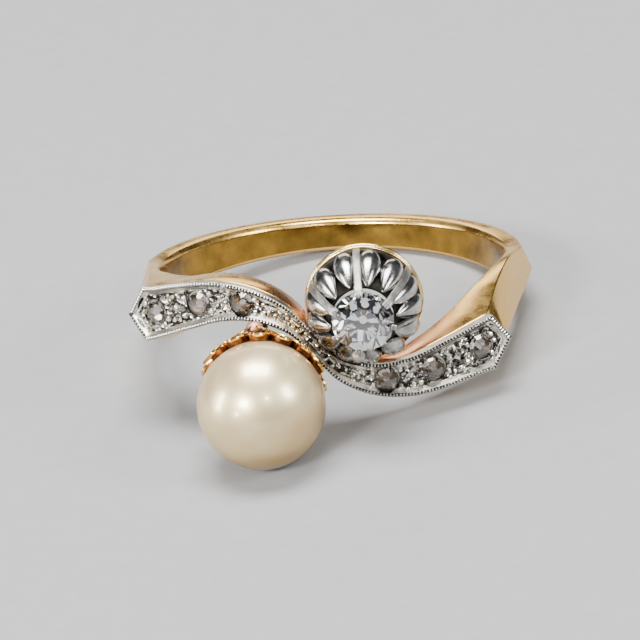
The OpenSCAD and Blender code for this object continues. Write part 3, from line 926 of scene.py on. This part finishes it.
def claw(width_share, index):
    """A flat strip along the rows, with three fingers at its end."""
    strip = added(bpy.ops.mesh.primitive_grid_add, x_subdivisions=len(claw_rows) - 1,
                  y_subdivisions=2 * claw_halves, size=1)
    for i, point in enumerate(strip.data.vertices):
        reach, rise, half = claw_rows[i % len(claw_rows)]
        across = i // len(claw_rows) / claw_halves - 1
        point.co = Vector((reach, across * half * width_share, claw_base + rise))
    modify(strip, "SOLIDIFY", thickness=claw_t, offset=0.0)
    modify(strip, "BEVEL", width=0.05, segments=2, limit_method="ANGLE", angle_limit=math.radians(50))
    outward(strip)
    fingers = [strip]
    for side in (-1, 0, 1):
        finger = globe(12, 8)
        finger_place = (finger_reach, side * finger_gap * width_share, claw_base + finger_rise)
        finger.data.transform(Matrix.Translation(finger_place) @ turned(finger_nod, "Y")
                              @ Matrix.Diagonal(finger_half))
        fingers.append(finger)
    return in_one_metal(join(fingers), crown_metals, index)


lobe_model = lobe()
claw_model = claw(claw_wide, claw_metal)
slim_claw_model = claw(claw_slim, lobe_metal)
parts = [turned_copy(lobe_model, angle) for angle in lobe_angles]
parts += [turned_copy(claw_model, angle) for angle in claw_angles]
parts += [turned_copy(slim_claw_model, angle) for angle in slim_claw_angles]
for model in (lobe_model, claw_model, slim_claw_model):
    bpy.data.objects.remove(model)

# the lowest claw ends in a worn ball
ball_reach, ball_rise, ball_squash = 1.72, 2.8, (1.1, 1.0, 0.85, 1)
claw_ball = globe(24, 12, ball_r)
in_one_metal(claw_ball, crown_metals, claw_metal)
claw_ball.data.transform(turned(ball_angle, "Z")
                         @ Matrix.Translation((ball_reach, 0, claw_base + ball_rise))
                         @ Matrix.Diagonal(ball_squash))
parts.append(claw_ball)

rim_in, rim_inner, rim_h = 0.1, 2.3, 0.3
rim = tube(rim_r - rim_in, rim_inner, claw_base, claw_base + rim_h)
modify(rim, "BEVEL", width=0.06, segments=3, limit_method="ANGLE", angle_limit=math.radians(40))
# the wall behind the lobes, a tube drawn in towards the stone; like the rim it takes painted shade, all
# but its inside
wall_outer, wall_inner, wall_low, wall_high, wall_taper = 2.5, 2.36, 0.1, 2.2, 0.62
inner_wall = tube(wall_outer, wall_inner, claw_base + wall_low, claw_base + wall_high)
for point in inner_wall.data.vertices:
    if point.co.z > claw_base + (wall_low + wall_high) / 2:
        point.co.x *= wall_taper
        point.co.y *= wall_taper
in_one_metal(inner_wall, crown_metals, wall_shade_metal)
for face in inner_wall.data.polygons:
    if face.normal.x * face.center.x + face.normal.y * face.center.y < 0:
        face.material_index = lobe_metal
crown = join([in_one_metal(rim, crown_metals, wall_shade_metal), inner_wall] + parts)
crown.name = "crown"
crown.data.transform(at_crown)
settle(crown, "diamond_crown")

# The diamond: an old cut round stone, high and lively, with a small table and large facets. It sits
# in the crown with its widest edge under the claws' fingers.
paint(frame["nodes"]["centre_diamond"], [gem("diamond", (0.98, 0.98, 0.99), (0.93, 0.91, 0.95), 2.4)])

# The pearl's cup: rosy gold, raised into a ring of arched and pierced petals round the pearl's back,
# and soldered to the underside of the band by a short post.
cup = frame["nodes"]["pearl_cup"].copy()
cup.data = frame["nodes"]["pearl_cup"].data.copy()
cup.name = "calyx_cup"
bpy.context.collection.objects.link(cup)
alone(cup)
bpy.ops.object.mode_set(mode="EDIT")
bpy.ops.mesh.select_all(action="SELECT")
bpy.ops.mesh.remove_doubles(threshold=0.000002)
bpy.ops.mesh.dissolve_limited(angle_limit=math.radians(2))
bpy.ops.object.mode_set(mode="OBJECT")
modify(cup, "BEVEL", width=0.00007, segments=2, limit_method="ANGLE", angle_limit=math.radians(35))
bpy.ops.object.shade_smooth_by_angle(angle=math.radians(40))
rosy_gold = metal("rosy gold", (0.74, 0.42, 0.10), (0.86, 0.56, 0.18), 0.10, 0.12, 1.5, 0.06)
knob_gold = metal("copper solder", (0.46, 0.22, 0.13), (0.70, 0.42, 0.31), 0.34, 0.14, 2.5, 0.4)
# painted shade: the cup's body is near black, in place of the shade between the petals and the pearl
cup_shade_gold = metal("tarnished rosy gold", (0.07, 0.02, 0.006), (0.20, 0.065, 0.015), 0.30, 0.14, 2.0, 0.1)
cup_metals = [cup_shade_gold, rosy_gold, knob_gold]
cup_shade_face, rosy_face, solder_face = range(3)
petal_count, petal_low, petal_high = 14, 44.0, 59.0
# the ribbon's points to a petal and across, half its width in degrees and half its thickness in mm
petal_points, ribbon_points, ribbon_half_a, ribbon_half_t, arch_round = 12, 8, 1.9, 0.10, 0.7


def on_cup(turn, from_back, radius):
    """A place round the pearl: turn round the cup's axis, from_back the angle from the cup's floor."""
    tilt = math.radians(180 - from_back)
    spin = math.radians(turn)
    return Vector((radius * math.sin(tilt) * math.cos(spin), radius * math.sin(tilt) * math.sin(spin),
                   radius * math.cos(tilt)))


def ribbon():
    """A flat gold ribbon that runs round the cup in one arch for each petal."""
    around = petal_count * petal_points
    made = blank_ring(around, ribbon_points)
    for i in range(around):
        turn = 360 * i / around
        arch = abs(math.sin(math.radians(turn) * petal_count / 2))
        from_back = petal_low + (petal_high - petal_low) * arch ** arch_round
        for j in range(ribbon_points):
            spin = 2 * math.pi * j / ribbon_points
            made.data.vertices[i * ribbon_points + j].co = on_cup(
                turn, from_back + ribbon_half_a * math.sin(spin), cup_r + ribbon_half_t * math.cos(spin))
    outward(made)
    return made


knob_turn, knob_back, knob_rise, knob_middle = 98.0, 36.0, 0.55, 0.40
knob_half = (0.42, 0.30, 0.36, 1)
leaf_points, leaf_sides, leaf_lift = 16, 8, 0.03
# half the leaf's width at its tips, what its middle is wider, and half its thickness
leaf_tip, leaf_swell, leaf_half_t = 0.05, 0.13, 0.07
# where the leaves end: turn round the cup, angle from the cup's floor
leaf_ends = [(154, 62), (144, 56), (128, 52), (110, 48), (82, 48), (62, 50), (44, 54), (28, 59)]


def leaf(turn, from_back):
    """A strip that runs straight from the knob to the cup, lies down on it and ends at this place."""
    made = blank_ring(leaf_points, leaf_sides)
    start = on_cup(knob_turn, knob_back, 1)
    end = on_cup(turn, from_back, 1)
    axis = start.cross(end).normalized()
    low = cup_r + leaf_lift
    taut = math.acos(low / (cup_r + knob_rise))
    path = []
    for i in range(leaf_points + 1):
        far = start.angle(end) * i / (leaf_points - 1)
        path.append(Matrix.Rotation(far, 3, axis) @ start * (low / math.cos(max(taut - far, 0.0))))
    for i in range(leaf_points):
        here = path[i]
        out = here.normalized()
        across = (path[i + 1] - here).cross(out).normalized()
        half = leaf_tip + leaf_swell * math.sin(math.pi * (i + 1) / (leaf_points + 1))
        for j in range(leaf_sides):
            spin = 2 * math.pi * j / leaf_sides
            made.data.vertices[i * leaf_sides + j].co = (here + across * half * math.cos(spin)
                                                         + out * leaf_half_t * math.sin(spin))
    cut_open(made, leaf_points, leaf_sides)
    outward(made)
    return made


trim = [in_one_metal(ribbon(), cup_metals, rosy_face)]
trim += [in_one_metal(leaf(turn, from_back), cup_metals, rosy_face) for turn, from_back in leaf_ends]
knob = globe(20, 12)
in_one_metal(knob, cup_metals, solder_face)
knob.data.transform(Matrix.Translation(on_cup(knob_turn, knob_back, cup_r + knob_middle))
                    @ Matrix.Diagonal(knob_half))
trim.append(knob)
for piece in trim:
    piece.data.transform(lying @ at_pearl)
cup.parent = None
join([in_one_metal(cup, cup_metals, cup_shade_face)] + trim)
bpy.ops.object.shade_smooth_by_angle(angle=math.radians(40))
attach(cup, "root")
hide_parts("pearl_cup")

# The pearl: a full round pearl of cream colour, glued on a peg in its cup. Its skin is not quite
# even, and its lustre comes from thin clear layers over a silky body.
pearl = globe(128, 64, pearl_r)
pearl.name = "round_pearl"
pearl.data.transform(at_pearl)
cream, rosy_cream, pearl_shade_honey = (0.84, 0.75, 0.45, 1), (0.60, 0.40, 0.22, 1), (0.36, 0.21, 0.035, 1)
# metres over the floor where the pearl's painted shade, a dark honey colour, is strongest and where it
# ends
pearl_shade_low, pearl_shade_high, pearl_shade_share = 0.0, 0.0050, 0.95
skin, tree, shader = plain_material("pearl skin", {
    "Metallic": 0.6,
    "Roughness": 0.36,
    "Specular Tint": (0.80, 0.54, 0.24, 1),
    "Coat Weight": 1.0,
    "Coat Roughness": 0.14,
    "Coat IOR": 1.5,
})
place = own_place(tree)
bands = stretch(tree, noise(tree, place, 260.0, Detail=3.0), 0.36, 0.64)
above = node(tree, "ShaderNodeSeparateXYZ", {"Vector": place}).outputs["Z"]
# painted shade: the pearl's skin turns a dark honey colour towards the floor
lower_shade = stretch(tree, above, pearl_shade_low, pearl_shade_high, pearl_shade_share, 0.0)
skin_color = mix(tree, lower_shade, mix(tree, bands, cream, rosy_cream), pearl_shade_honey)
tree.links.new(skin_color, shader.inputs["Base Color"])
paint(pearl, [skin])
settle(pearl, "pearl", smooth_angle=180)

# The studio: a pale floor, a large soft light over the ring and smaller ones round it, and the
# camera where the photograph was taken from.
floor = added(bpy.ops.mesh.primitive_plane_add, size=1.2)
floor.name = "floor"
paper, tree, shader = plain_material("pale paper", {"Roughness": 0.8})
fibres = noise(tree, own_place(tree), 900.0, Detail=3.0)
paper_color = mix(tree, fibres, (0.25, 0.25, 0.255, 1), (0.29, 0.29, 0.295, 1))
tree.links.new(paper_color, shader.inputs["Base Color"])
floor.data.materials.append(paper)

world = bpy.data.worlds.new("studio")
bpy.context.scene.world = world
world.use_nodes = True
background = world.node_tree.nodes["Background"]
background.inputs["Color"].default_value = (0.80, 0.86, 1.0, 1)
background.inputs["Strength"].default_value = 0.06

under_ring, ring_front = (0, 0, 0.003), (0, -0.005, 0.003)
white, warm = (1, 1, 1), (1.0, 0.92, 0.76)
# place and aim in metres, size across and along in metres, power in watts, colour
lights = {
    "over": ((0.00, 0.02, 0.30), (0, 0, 0), (0.20, 0.12), 2.5, white),
    "front": ((-0.16, -0.33, 0.22), ring_front, (0.10, 0.08), 2.7, white),
    "left": ((-0.30, -0.08, 0.10), ring_front, (0.04, 0.14), 0.9, white),
    "right": ((0.26, -0.10, 0.16), under_ring, (0.08, 0.10), 0.8, white),
    "low spark": ((-0.20, -0.26, 0.07), ring_front, (0.012, 0.012), 0.22, white),
    "high spark": ((0.10, -0.24, 0.20), ring_front, (0.012, 0.012), 0.22, white),
    "back": ((-0.06, 0.40, 0.15), under_ring, (0.30, 0.09), 0.42, warm),
}
for name, (place, aim, size, power, color) in lights.items():
    light = bpy.data.lights.new(name, "AREA")
    light.shape = "RECTANGLE"
    light.size, light.size_y = size
    light.energy = power
    light.color = color
    lamp = bpy.data.objects.new(name, light)
    bpy.context.collection.objects.link(lamp)
    lamp.location = place
    lamp.rotation_euler = (Vector(aim) - Vector(place)).to_track_quat("-Z", "Y").to_euler()

view_rise, view_yaw, view_roll = 16.86, 6.88, 4.1
view_far, px_per_mm = 300.0, 20.2
# the middle of the finger hole in the photograph, the photograph's side, and the camera's film
ring_px, photo_px, film_mm = (333.7, 283.1), 640, 36
middle_px = photo_px / 2
rise, yaw, roll = (math.radians(value) for value in (view_rise, view_yaw, view_roll))
towards = Vector((math.sin(yaw) * math.cos(rise), -math.cos(yaw) * math.cos(rise), math.sin(rise)))
right = Vector((math.cos(yaw), math.sin(yaw), 0))
up = towards.cross(right)
rolled_right = right * math.cos(roll) - up * math.sin(roll)
rolled_up = up * math.cos(roll) + right * math.sin(roll)
eye = (towards * view_far - rolled_right * (ring_px[0] - middle_px) / px_per_mm
       - rolled_up * (middle_px - ring_px[1]) / px_per_mm)
camera_data = bpy.data.cameras.new("camera")
camera_data.sensor_width = film_mm
camera_data.lens = view_far * px_per_mm / photo_px * film_mm
camera_data.clip_start = 0.01
camera_data.clip_end = 10
camera = bpy.data.objects.new("camera", camera_data)
bpy.context.collection.objects.link(camera)
camera_turn = Matrix((rolled_right, rolled_up, towards)).transposed().to_4x4()
camera.matrix_world = Matrix.LocRotScale((lying @ eye), (lying.to_3x3() * mm_per_m).to_quaternion()
                                         @ camera_turn.to_quaternion(), None)
bpy.context.scene.camera = camera
